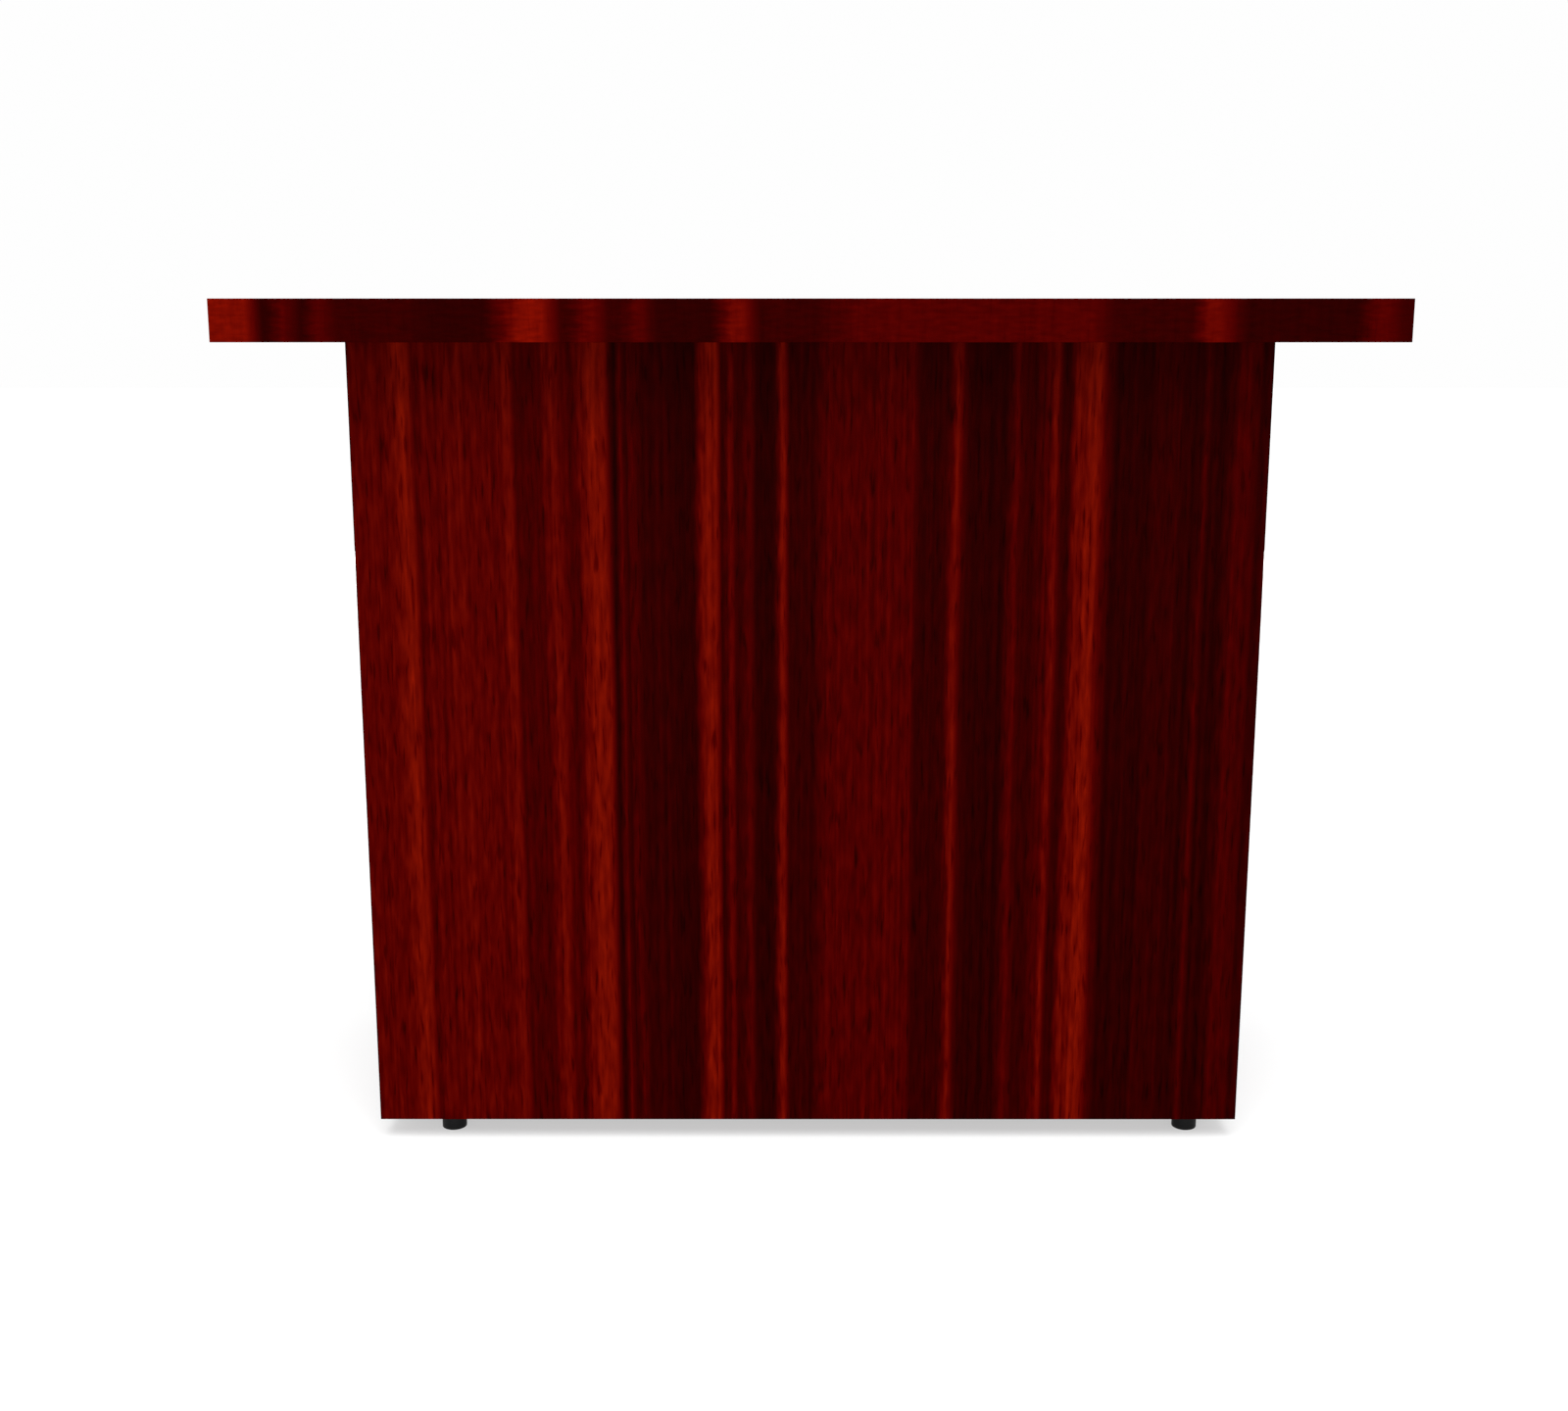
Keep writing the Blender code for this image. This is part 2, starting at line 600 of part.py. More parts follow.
def stem_profile():
    """The stem's outline from its bulb up, without its six-sided collar."""
    return [
        (0, BULB_UNDER),
        (STEM_BULB_RADIUS, BULB_UNDER),
        (STEM_BULB_RADIUS, BULB_TOP),
        (STEM_NECK_RADIUS, BULB_TOP),
        (STEM_NECK_RADIUS, COLLAR_UNDER + SEAT),
        (STEM_RADIUS, COLLAR_UNDER + SEAT),
        (STEM_RADIUS, STEM_TOP - STEM_CHAMFER),
        (STEM_RADIUS - STEM_CHAMFER, STEM_TOP),
        (0, STEM_TOP),
    ]


def insert_profile():
    """The threaded insert's section: a barrel in the base panel with a flange under it, round the stem."""
    bore, top = STEM_RADIUS + SEAT, BODY_BOTTOM + INSERT_HEIGHT
    flange_top = BODY_BOTTOM - SEAT
    return [
        (FLANGE_RADIUS, FLANGE_UNDER),
        (FLANGE_RADIUS, flange_top),
        (INSERT_RADIUS, flange_top),
        (INSERT_RADIUS, top),
        (bore, top),
        (bore, FLANGE_UNDER),
    ]


def build_feet(plastic, steel, zinc):
    """Four levelling feet: a pad, a stem that turns in it, and the insert that the stem screws up into."""
    for name, place in foot_places().items():
        axis = bpy.data.objects.new(f"foot_axis_{name}", None)
        axis.location = place
        bpy.context.scene.collection.objects.link(axis)
        turned_piece(f"foot_pad_{name}", pad_profile(), FOOT_SIDES, plastic, parent=axis)
        stem = turned_piece(f"foot_stem_{name}", stem_profile(), STEM_SIDES, steel, parent=axis)
        collar = bmesh.new()
        add_prism(collar, COLLAR_FLATS, COLLAR_UNDER, COLLAR_TOP)
        combine(stem, f"foot_collar_{name}", collar, "UNION")
        socket = bmesh.new()
        add_prism(socket, HEX_KEY_FLATS, STEM_TOP - HEX_KEY_DEPTH, STEM_TOP + OVERCUT)
        combine(stem, f"foot_key_socket_{name}", socket)
        turned_piece(f"foot_insert_{name}", insert_profile(), STEM_SIDES, zinc, parent=axis)


def main():
    clear_scene()
    veneer = make_material("mahogany_veneer", (0.090, 0.004, 0.002), 0.45)
    lipping = make_material("mahogany_lipping", (0.080, 0.003, 0.002), 0.45)
    batten = make_material("softwood_batten", (0.55, 0.38, 0.20), 0.65)
    beech = make_material("beech_dowel", (0.62, 0.44, 0.26), 0.60)
    steel = make_material("zinc_plated_steel", (0.60, 0.60, 0.58), 0.35, 1.0)
    zinc = make_material("die_cast_zinc", (0.48, 0.48, 0.47), 0.45, 1.0)
    plastic = make_material("black_plastic", (0.012, 0.012, 0.012), 0.45)
    build_top(veneer, lipping)
    build_front(veneer, lipping)
    for side, sign in both_sides():
        build_side(side, sign, veneer, lipping)
    build_rail(veneer)
    build_base(veneer, lipping)
    build_shelf(veneer, lipping, steel)
    build_cleats(batten, steel)
    build_fittings(zinc, beech)
    build_feet(plastic, steel, zinc)


main()
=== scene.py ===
import math

import bpy
import numpy as np
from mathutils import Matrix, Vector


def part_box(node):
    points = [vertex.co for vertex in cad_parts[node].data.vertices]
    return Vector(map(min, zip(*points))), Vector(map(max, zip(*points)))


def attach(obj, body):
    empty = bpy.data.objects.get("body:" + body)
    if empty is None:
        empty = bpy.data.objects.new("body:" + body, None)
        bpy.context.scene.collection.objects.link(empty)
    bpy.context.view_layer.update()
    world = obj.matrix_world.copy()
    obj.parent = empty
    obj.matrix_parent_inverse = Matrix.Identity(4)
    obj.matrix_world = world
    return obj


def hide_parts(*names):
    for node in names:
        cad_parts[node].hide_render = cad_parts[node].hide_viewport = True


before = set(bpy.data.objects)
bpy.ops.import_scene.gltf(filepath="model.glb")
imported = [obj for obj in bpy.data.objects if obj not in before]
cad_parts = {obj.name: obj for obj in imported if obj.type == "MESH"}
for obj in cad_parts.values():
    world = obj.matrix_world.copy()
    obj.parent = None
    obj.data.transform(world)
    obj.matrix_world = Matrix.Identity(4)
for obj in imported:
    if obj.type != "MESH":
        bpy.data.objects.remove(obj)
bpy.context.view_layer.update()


# Front panel.
# The broad face towards the congregation: a 25 mm board faced with quarter-cut mahogany, stained dark red.
# Its ribbons stand side by side and run straight up from the floor to the desk top, under a matt lacquer.
class Shade:
    """One socket of a material. Sums of Shades add Math nodes, and node() adds any other node."""

    def __init__(self, socket):
        self.socket = socket

    def node(self, kind, settings=None, sockets=None, give=0):
        """Adds a node: its settings first, then its sockets' values or links. Gives one of its outputs."""
        tree = self.socket.id_data
        made = tree.nodes.new(kind)
        for setting, value in (settings or {}).items():
            if setting == "stops":
                stops = made.color_ramp.elements
                stops.remove(stops[1])
                stops[0].position, stops[0].color = value[0]
                for place, colour in value[1:]:
                    stops.new(place).color = colour
            else:
                setattr(made, setting, value)
        for socket, value in (sockets or {}).items():
            if isinstance(value, Shade):
                tree.links.new(value.socket, made.inputs[socket])
            else:
                made.inputs[socket].default_value = value
        return Shade(made.outputs[give])

    def maths(self, operation, first, second):
        """A Math node on two values."""
        return self.node("ShaderNodeMath", {"operation": operation}, {0: first, 1: second})

    def __add__(self, other):
        return self.maths("ADD", self, other)

    def __radd__(self, other):
        return self.maths("ADD", other, self)

    def __sub__(self, other):
        return self.maths("SUBTRACT", self, other)

    def __rsub__(self, other):
        return self.maths("SUBTRACT", other, self)

    def __mul__(self, other):
        return self.maths("MULTIPLY", self, other)

    def __rmul__(self, other):
        return self.maths("MULTIPLY", other, self)

    def between(self, low, high):
        """0 at low, 1 at high, eased at both ends."""
        settings = {"interpolation_type": "SMOOTHSTEP"}
        return self.node("ShaderNodeMapRange", settings, {"Value": self, "From Min": low, "From Max": high})

    def feed(self, shader, socket):
        """Links it to one of a shader's sockets."""
        self.socket.id_data.links.new(self.socket, shader.inputs[socket])


def new_finish(name, fixed):
    """A material with a Principled shader whose fixed sockets are set. Gives it, its place and its shader."""
    material = bpy.data.materials.new(name)
    material.use_nodes = True
    shader = material.node_tree.nodes["Principled BSDF"]
    for socket, value in fixed.items():
        shader.inputs[socket].default_value = value
    place = Shade(material.node_tree.nodes.new("ShaderNodeTexCoord").outputs["Object"])
    return material, place, shader


def linear(shown):
    """The light that a screen's level from 0 to 1 stands for, by the usual screen curve."""
    shown = np.asarray(shown, float)
    return np.where(shown > 0.04045, ((shown + 0.055) / 1.055) ** 2.4, shown / 12.92)


X, Y, Z = 0, 1, 2
# The names of the ribbons' tones, and how light each is on a screen, in hundredths.
BLACK, DARK, DIM, RED, MID, BRIGHT, ORANGE = 17, 20, 26, 30, 34, 39, 45
# The flitch's ribbons from its left edge: width in millimetres, and tone.
RIBBONS = [
    (48, MID), (7, BRIGHT), (15, ORANGE), (5, BRIGHT), (5, DIM), (48, MID), (5, BRIGHT), (52, MID),
    (12, BRIGHT), (38, DIM), (20, BRIGHT), (20, DIM), (15, BRIGHT), (22, ORANGE), (11, BLACK), (8, RED),
    (7, BLACK), (8, RED), (40, DARK), (32, BLACK), (7, RED), (20, ORANGE), (10, DARK), (10, MID),
    (12, DARK), (10, RED), (30, BLACK), (13, BRIGHT), (34, DARK), (10, DIM), (111, RED), (43, DARK),
    (12, BRIGHT), (5, DIM), (55, BLACK), (15, RED), (20, DARK), (9, DIM), (8, RED), (7, BRIGHT),
    (16, DARK), (17, BRIGHT), (18, ORANGE), (12, DIM), (50, BLACK), (38, DARK), (22, BLACK), (7, DIM),
    (28, BLACK), (29, DIM), (18, DARK),
]
FLITCH_WIDTH = sum(width for width, tone in RIBBONS) / 1000
# How far a ribbon fades inside each of its edges, in millimetres.
RIBBON_FADE = 4
# A colour ramp holds 32 stops at most, so the flitch is shared out over this many.
RIBBON_RAMPS = 4
# The grain's marks: width across the grain and length along it in metres, and octaves of finer detail.
FLECK, CURL = (0.0068, 0.040, 1.0), (0.022, 0.0055, 2.0)
LINE, THREAD = (0.0075, 6.0, 0.0), (0.0068, 5.0, 2.0)
CLOUD, SWAY = (0.045, 0.30, 1.0), (0.060, 0.40, 1.0)
PORE, FIBRE = (0.0048, 0.046, 1.0), (0.0007, 0.014, 2.0)
# Where the pores' noise starts to show as a pore, and where it is one.
PORE_FROM, PORE_FULL = 0.10, 0.27
# How far the ribbons stray from straight, and how far each fleck draws them, in metres.
SWAY_REACH, FLECK_REACH = 0.006, 0.003
# How strongly the marks show in a straight slice, and in a curled one.
STRAIGHT_MARKS = {"fleck": 0.50, "thread": 0.30, "hair": 0.06, "pore": 0.23}
CURLED_MARKS = {"fleck": 0.42, "thread": 0.05, "hair": 0.0, "pore": 0.06}
LINE_MARK, CLOUD_MARK, FIBRE_MARK = 0.12, 0.08, 0.13
# The stain is pure red on dark wood. From this lightness on, green comes in at this rate, towards orange.
ORANGE_FROM, ORANGE_RATE = 0.33, 0.37
# The stain's lightest tone, the trace of green that it always has, and its blue as a part of its green.
STAIN_TOP, STAIN_GREEN, STAIN_BLUE = 0.6, 0.001, 0.1
# How many times brighter than white the studio lights a white front, so that a tone shows at its own level.
LIT = 2.31
# The strip that closes a panel's edge. The veneer starts behind it.
LIPPING = 0.001


def ribbon_stops():
    """Where the ribbons' tones hold, in metres from the flitch's left edge: each ribbon less its faded edges.

    A ribbon too narrow to hold its tone keeps it at its middle only, as one stop.
    """
    width, light = np.array(RIBBONS, float).T
    right = np.cumsum(width)
    fade = np.minimum(width / 2, RIBBON_FADE)
    held = np.stack([right - width + fade, right - fade], 1).ravel() / 1000
    tone = np.repeat(light / 100, 2)
    apart = np.append(True, ~np.isclose(np.diff(held), 0, atol=1e-6))
    return held[apart], tone[apart]


def mahogany(name, across, along, edge, spread=1.0, way=1, lift=1.0, orange=1.0, curled=False):
    """Ribbon veneer: tone = ribbon(over + sway) x (lift + figure) + hairlines, then the stain's colour.

    The ribbons lie along axis `across`, counted from `edge` in direction `way`, and run along axis `along`.
    `spread` widens them, for a slice cut flatter to the rings, `lift` lightens it, and `orange` is how far
    its light ribbons turn from red to orange. A `curled` slice has short flecks across it, and hardly a line.
    """
    material, place, shader = new_finish(name, {"Specular IOR Level": 0.002, "IOR": 1.45})
    side = place.node("ShaderNodeSeparateXYZ", {}, {"Vector": place}, across)
    grain = place.node("ShaderNodeSeparateXYZ", {}, {"Vector": place}, along)

    def streak(wide, long, detail):
        """Noise drawn out along the grain, about 0."""
        vector = place.node("ShaderNodeCombineXYZ", {}, {"X": side * (1 / wide), "Y": grain * (1 / long)})
        sockets = {"Vector": vector, "Scale": 1.0, "Detail": detail, "Roughness": 0.5}
        return place.node("ShaderNodeTexNoise", {"noise_dimensions": "2D"}, sockets) - 0.5

    fleck = streak(*(CURL if curled else FLECK))
    line, thread, cloud, fibre = streak(*LINE), streak(*THREAD), streak(*CLOUD), streak(*FIBRE)
    pore = streak(*PORE).between(PORE_FROM, PORE_FULL)
    sway = streak(*SWAY) * SWAY_REACH + fleck * FLECK_REACH

    # Past its own part of the flitch a ramp holds its end's tone, so the tones where two meet are taken off.
    held, light = ribbon_stops()
    over = (side - edge) * (way / spread) + sway
    meet = np.linspace(held[0], held[-1], RIBBON_RAMPS + 1)
    shared = np.interp(meet, held, light)
    tone = -float(shared[1:-1].sum())
    for k in range(RIBBON_RAMPS):
        low, high = meet[k], meet[k + 1]
        inside = (held > low) & (held < high)
        at = np.concatenate([[low], held[inside], [high]])
        value = np.concatenate([[shared[k]], light[inside], [shared[k + 1]]])
        stops = [(float((a - low) / (high - low)), (v, v, v, 1.0)) for a, v in zip(at, value.tolist())]
        along_ramp = (over - low) * (1 / (high - low))
        tone = tone + place.node("ShaderNodeValToRGB", {"stops": stops}, {"Fac": along_ramp})

    mark = CURLED_MARKS if curled else STRAIGHT_MARKS
    figure = fleck * mark["fleck"] + thread * mark["thread"] - pore * mark["pore"]
    figure = figure + line * LINE_MARK + cloud * CLOUD_MARK + fibre * FIBRE_MARK
    tone = tone * (lift + figure) + thread * mark["hair"]

    red = np.linspace(0, STAIN_TOP, 13)
    green = STAIN_GREEN + orange * ORANGE_RATE * np.maximum(red - ORANGE_FROM, 0)
    colours = linear(np.stack([red, green, green * STAIN_BLUE], 1)) / LIT
    stops = [(at, (*colour, 1.0)) for at, colour in zip((red / STAIN_TOP).tolist(), colours.tolist())]
    stain = place.node("ShaderNodeValToRGB", {"stops": stops}, {"Fac": tone * (1 / STAIN_TOP)})
    stain.feed(shader, "Base Color")
    (0.46 + fleck * 0.10 + fibre * 0.08 + pore * 0.05).feed(shader, "Roughness")
    height = fleck * 0.4 + fibre * 0.6 - pore
    sockets = {"Height": height, "Strength": 0.12, "Distance": 0.0002}
    place.node("ShaderNodeBump", {}, sockets).feed(shader, "Normal")
    return material


def dress(names, material):
    """Gives the named CAD nodes their finish."""
    for name in names:
        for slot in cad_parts[name].material_slots:
            slot.material = material


front_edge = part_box("front_panel_left_lipping")[0][X] + LIPPING
dress(["front_panel"], mahogany("front_veneer", X, Z, edge=front_edge))

# Front panel lippings.
# Strips of the same mahogany, 1 mm thick, glued to the panel's two upright edges and trimmed flush.
front_lipping = mahogany("front_lipping", Y, Z, edge=-0.80)
dress(["front_panel_left_lipping", "front_panel_right_lipping"], front_lipping)

# Side panels and their rear lippings.
# Boards like the front panel, glued and drawn up behind it, and faced with the flitch's next leaf,
# turned over so that the figure mirrors the front's from the corner on. A 1 mm strip closes each rear edge.
LEAF_TRIM = 0.040
side_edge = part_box("front_panel")[0][Y] - LEAF_TRIM
dress(["left_side_panel"], mahogany("left_side_veneer", Y, Z, edge=side_edge))
dress(["right_side_panel"], mahogany("right_side_veneer", Y, Z, edge=FLITCH_WIDTH + side_edge, way=-1))
side_lipping = mahogany("side_lipping", X, Z, edge=-0.80)
dress(["left_side_rear_lipping", "right_side_rear_lipping"], side_lipping)

# Cam fittings and dowels.
# Die-cast zinc discs let into the side panels' inner faces draw in the bolts of the front panel, and fluted
# beech dowels between them line the panels up. Only the discs' slotted faces can be seen, from behind.
SIDES = ("left", "right")
# How long a ring of plain wood runs along the grain, in metres.
RING_LENGTH = 0.5


def metal(name, bright, dull, rough):
    """Plated metal: fine specks from the bright to the dull colour, and soft patches that shine less."""
    material, place, shader = new_finish(name, {"Metallic": 1.0})
    speck = place.node("ShaderNodeTexNoise", {}, {"Vector": place, "Scale": 1400.0, "Detail": 2.0})
    patch = place.node("ShaderNodeTexNoise", {}, {"Vector": place, "Scale": 160.0, "Detail": 2.0})
    stops = [(0.30, (*bright, 1.0)), (0.70, (*dull, 1.0))]
    plate = place.node("ShaderNodeValToRGB", {"stops": stops}, {"Fac": speck * 0.5 + patch * 0.5})
    plate.feed(shader, "Base Color")
    (rough - 0.15 + speck * 0.12 + patch * 0.18).feed(shader, "Roughness")
    sockets = {"Height": speck, "Strength": 0.05, "Distance": 0.0001}
    place.node("ShaderNodeBump", {}, sockets).feed(shader, "Normal")
    return material


def plain_wood(name, along, early, late, ring):
    """Unstained wood: early colour to late colour by rings `ring` apart, drawn out along axis `along`."""
    material, place, shader = new_finish(name, {"Specular IOR Level": 0.15})
    drawn = [1 / ring, 1 / ring, 1 / ring]
    drawn[along] = 1 / RING_LENGTH
    vector = place.node("ShaderNodeVectorMath", {"operation": "MULTIPLY"}, {0: place, 1: drawn})
    sockets = {"Vector": vector, "Scale": 1.0, "Detail": 3.0, "Distortion": 0.6}
    rings = place.node("ShaderNodeTexNoise", {}, sockets)
    fibre = place.node("ShaderNodeTexNoise", {}, {"Vector": vector, "Scale": 9.0, "Detail": 2.0})
    late_wood = rings.between(0.46, 0.64) * 0.75 + fibre * 0.25
    stops = [(0.05, (*early, 1.0)), (0.95, (*late, 1.0))]
    place.node("ShaderNodeValToRGB", {"stops": stops}, {"Fac": late_wood}).feed(shader, "Base Color")
    (0.72 - late_wood * 0.14).feed(shader, "Roughness")
    sockets = {"Height": fibre - late_wood * 0.5, "Strength": 0.2, "Distance": 0.0003}
    place.node("ShaderNodeBump", {}, sockets).feed(shader, "Normal")
    return material


die_cast_zinc = metal("die_cast_zinc", bright=(0.52, 0.52, 0.50), dull=(0.36, 0.36, 0.35), rough=0.42)
dress([f"cam_{side}_{number}" for side in SIDES for number in (1, 2, 3)], die_cast_zinc)
dress([f"cam_bolt_{side}_{number}" for side in SIDES for number in (1, 2, 3)], die_cast_zinc)
beech = plain_wood("beech", Y, early=(0.62, 0.40, 0.22), late=(0.48, 0.28, 0.14), ring=0.0012)
dress([f"dowel_{side}_{number}" for side in SIDES for number in (1, 2)], beech)

# Base panel.
# The cabinet's floor, let into rebates in the front and side panels, its grain running from side to side.
dress(["base_panel"], mahogany("base_veneer", Y, X, edge=-0.85))
dress(["base_rear_lipping"], mahogany("base_lipping", Z, X, edge=-0.60))

# Rear rail.
# A board on edge across the open back, tenoned into the side panels under the desk top.
dress(["rear_rail"], mahogany("rail_veneer", Z, X, edge=0.35))

# Book shelf.
# A loose board inside, out of the congregation's sight, lipped along its rear edge.
dress(["book_shelf"], mahogany("shelf_veneer", Y, X, edge=-0.36))
dress(["shelf_rear_lipping"], mahogany("shelf_lipping", Z, X, edge=0.05))

# Shelf pins.
# Turned steel pins with a collar, pushed into the side panels' rows of holes.
# The shelf lies on their round ends.
PIN_COLUMNS = 32
PIN_ROUNDING = 0.0006
# A turned piece's rows stop this short of its axis, and a point closes them.
POLE = 0.0002
# The outline's radii, and its heights from the panel's face into the panel.
PIN_PROFILE = [
    (POLE, -0.0120), (0.0025, -0.0120), (0.0025, -0.0015), (0.0045, -0.0015),
    (0.0045, -0.0003), (0.0025, -0.0003), (0.0025, 0.0100), (POLE, 0.0100),
]


def softened(profile, cut, closed=False):
    """A profile with its corners rounded: each is a curve from `cut` before it to `cut` after it.

    The curve is (1 - t)^2 start + 2t(1 - t) corner + t^2 end. `cut` is at most 0.45 of the side it lies on.
    """
    profile = np.array(profile, float)
    corner = profile if closed else profile[1:-1]
    before = np.roll(profile, 1, 0) if closed else profile[:-2]
    after = np.roll(profile, -1, 0) if closed else profile[2:]
    before_way, after_way = before - corner, after - corner
    before_length = np.linalg.norm(before_way, axis=1, keepdims=True)
    after_length = np.linalg.norm(after_way, axis=1, keepdims=True)
    start = corner + before_way * np.minimum(cut / before_length, 0.45)
    end = corner + after_way * np.minimum(cut / after_length, 0.45)
    t = np.linspace(0, 1, 5)[None, :, None]
    curve = (1 - t) ** 2 * start[:, None] + 2 * t * (1 - t) * corner[:, None] + t**2 * end[:, None]
    curve = curve.reshape(-1, 2)
    return curve if closed else np.concatenate([profile[:1], curve, profile[-1:]])


def carried_round(profile, columns):
    """A round piece's radii and heights: the profile's own, the same in each column round its axis."""
    return [np.tile(part[:, None], columns) for part in profile.T]


def turned(name, radius, height, origin, axis, material, ring=False):
    """A surface round an axis: origin + height x axis + radius x (cos turn x first + sin turn x second).

    Rows follow the profile, up its outside, and columns go once round. The two ends close on a point each,
    or in a ring on each other.
    """
    rows, columns = radius.shape
    axis = np.array(axis, float)
    first = np.roll(axis, 1)
    turn = np.linspace(0, 2 * np.pi, columns, endpoint=False)[:, None]
    outward = np.cos(turn) * first + np.sin(turn) * np.cross(axis, first)
    point = np.array(origin) + height[..., None] * axis + radius[..., None] * outward
    place = np.arange(rows * columns).reshape(rows, columns)
    lower = place if ring else place[:-1]
    upper = np.roll(place, -1, 0) if ring else place[1:]
    faces = np.stack([lower, np.roll(lower, -1, 1), np.roll(upper, -1, 1), upper], -1)
    faces = faces.reshape(-1, 4).tolist()
    vertices = point.reshape(-1, 3)
    if not ring:
        low, high = place[0], place[-1]
        low_pole, high_pole = np.full_like(low, rows * columns), np.full_like(low, rows * columns + 1)
        vertices = np.concatenate([vertices, [point[0].mean(0), point[-1].mean(0)]])
        faces += np.stack([low_pole, np.roll(low, -1), low], 1).tolist()
        faces += np.stack([high_pole, high, np.roll(high, -1)], 1).tolist()
    mesh = bpy.data.meshes.new(name)
    mesh.from_pydata(vertices.tolist(), [], faces)
    mesh.shade_smooth()
    mesh.set_sharp_from_angle(angle=math.radians(40))
    mesh.materials.append(material)
    piece = bpy.data.objects.new(name, mesh)
    bpy.context.scene.collection.objects.link(piece)
    return piece


bright_steel = metal("bright_zinc_plate", bright=(0.66, 0.66, 0.64), dull=(0.50, 0.51, 0.52), rough=0.30)
pin_radius, pin_height = carried_round(softened(PIN_PROFILE, PIN_ROUNDING), PIN_COLUMNS)
panel_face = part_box("right_side_panel")[0][X]
for row in ("front", "rear"):
    for side, sign in zip(SIDES, (-1, 1)):
        hole = np.mean(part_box(f"shelf_pin_{row}_{side}"), 0)
        hole[X] = sign * panel_face
        name = f"round_shelf_pin_{row}_{side}"
        pin = turned(name, pin_radius, pin_height, hole, (sign, 0, 0), bright_steel)
        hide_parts(f"shelf_pin_{row}_{side}")
        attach(pin, "cabinet")

# Cleats.
# Softwood battens glued inside the head of the cabinet, planed and left bare, where the desk top is fixed.
pine = {"early": (0.62, 0.42, 0.22), "late": (0.40, 0.20, 0.075), "ring": 0.0045}
dress(["front_cleat"], plain_wood("front_cleat_pine", X, **pine))
dress(["left_cleat", "right_cleat"], plain_wood("side_cleat_pine", Y, **pine))

# Desk top screws.
# Countersunk steel wood screws, driven up through the cleats into the desk top with a cross-point driver.
SCREW_COLUMNS = 64
SCREW_ROUNDING = 0.0004
# The outline's radii, and its heights from the head's face to the point, outside the face.
SCREW_PROFILE = [(0.0046, 0), (0.0048, 0.0003), (0.0024, 0.0030), (0.0024, 0.05315), (POLE, 0.05715)]
HEAD_FACE, HEAD_ROWS = 0.0044, 22
RECESS_REACH, RECESS_WIDE, RECESS_DEEP = 0.0026, 0.0010, 0.0016
RECESS_SIDE_EASE, RECESS_END_EASE = 0.0002, 0.0008


def cross_recess(radius, turn):
    """How deep the driver's cross is: all of it along its arms' middles, easing to none at their edges."""
    one, other = np.abs(radius * np.cos(turn)), np.abs(radius * np.sin(turn))
    beside = (RECESS_WIDE / 2 - np.minimum(one, other)) / RECESS_SIDE_EASE
    beyond = (RECESS_REACH - np.maximum(one, other)) / RECESS_END_EASE
    return RECESS_DEEP * np.clip(np.minimum(beside, beyond), 0, 1)


def underside(node):
    """The middle of a CAD node's underside, where an upright piece starts."""
    low, high = np.array(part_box(node))
    return (*(low + high)[:Z] / 2, low[Z])


face_radius = np.tile(np.linspace(POLE, HEAD_FACE, HEAD_ROWS)[:, None], SCREW_COLUMNS)
face_turn = np.linspace(0, 2 * np.pi, SCREW_COLUMNS, endpoint=False)
shaft_radius, shaft_height = carried_round(softened(SCREW_PROFILE, SCREW_ROUNDING), SCREW_COLUMNS)
screw_radius = np.concatenate([face_radius, shaft_radius])
screw_height = np.concatenate([cross_recess(face_radius, face_turn), shaft_height])
for spot in ("front_left", "front_right", "left_fore", "left_aft", "right_fore", "right_aft"):
    bottom = underside(f"top_screw_{spot}")
    screw = turned(f"cross_screw_{spot}", screw_radius, screw_height, bottom, (0, 0, 1), bright_steel)
    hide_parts(f"top_screw_{spot}")
    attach(screw, "cabinet")

# Desk top.
# Two boards glued face to face, faced with a flatter-cut slice of the flitch, so its ribbons are much wider.
# They run from front to back, and a 2 mm band closes each edge.
SLICE_SPREAD, SLICE_START = 2.65, 0.293
slice_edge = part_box("top_left_edge_band")[0][X] - SLICE_START * SLICE_SPREAD
flat_cut = {"edge": slice_edge, "spread": SLICE_SPREAD, "lift": 1.07, "orange": 0.75}
dress(["top_lower_board", "top_upper_board"], mahogany("top_veneer", X, Y, **flat_cut))
long_band = mahogany("top_long_band", X, Z, curled=True, **flat_cut)
dress(["top_front_edge_band", "top_rear_edge_band"], long_band)
dress(["top_left_edge_band", "top_right_edge_band"], mahogany("top_end_band", Z, Y, edge=0.60))

# Levelling feet.
# A zinc insert in each corner of the base takes a plated steel stem with a six-sided collar and a thread.
# The stem's ball end turns in a moulded black pad, which stands on the floor.
SLEEVE_COLUMNS, PAD_COLUMNS, STEM_COLUMNS = 64, 96, 96
SLEEVE_ROUNDING, PAD_ROUNDING, BALL_ROUNDING = 0.0004, 0.0010, 0.0014
# The outlines' radii, and their heights from the floor.
SLEEVE_PROFILE = [
    (0.0130, 0.0252), (0.0130, 0.0267), (0.0070, 0.0267), (0.0070, 0.0470), (0.0053, 0.0470),
    (0.0053, 0.0252),
]
PAD_PROFILE = [
    (POLE, 0), (0.0160, 0), (0.0160, 0.0201), (0.0043, 0.0201), (0.0043, 0.0171), (0.0058, 0.0171),
    (0.0058, 0.0115), (POLE, 0.0115),
]
BALL_PROFILE = [(POLE, 0.0118), (0.0055, 0.0118), (0.0055, 0.0168), (0.0040, 0.0168), (0.0040, 0.0203)]
COLLAR_ACROSS, COLLAR_UNDER, COLLAR_TOP = 0.014, 0.0204, 0.0249
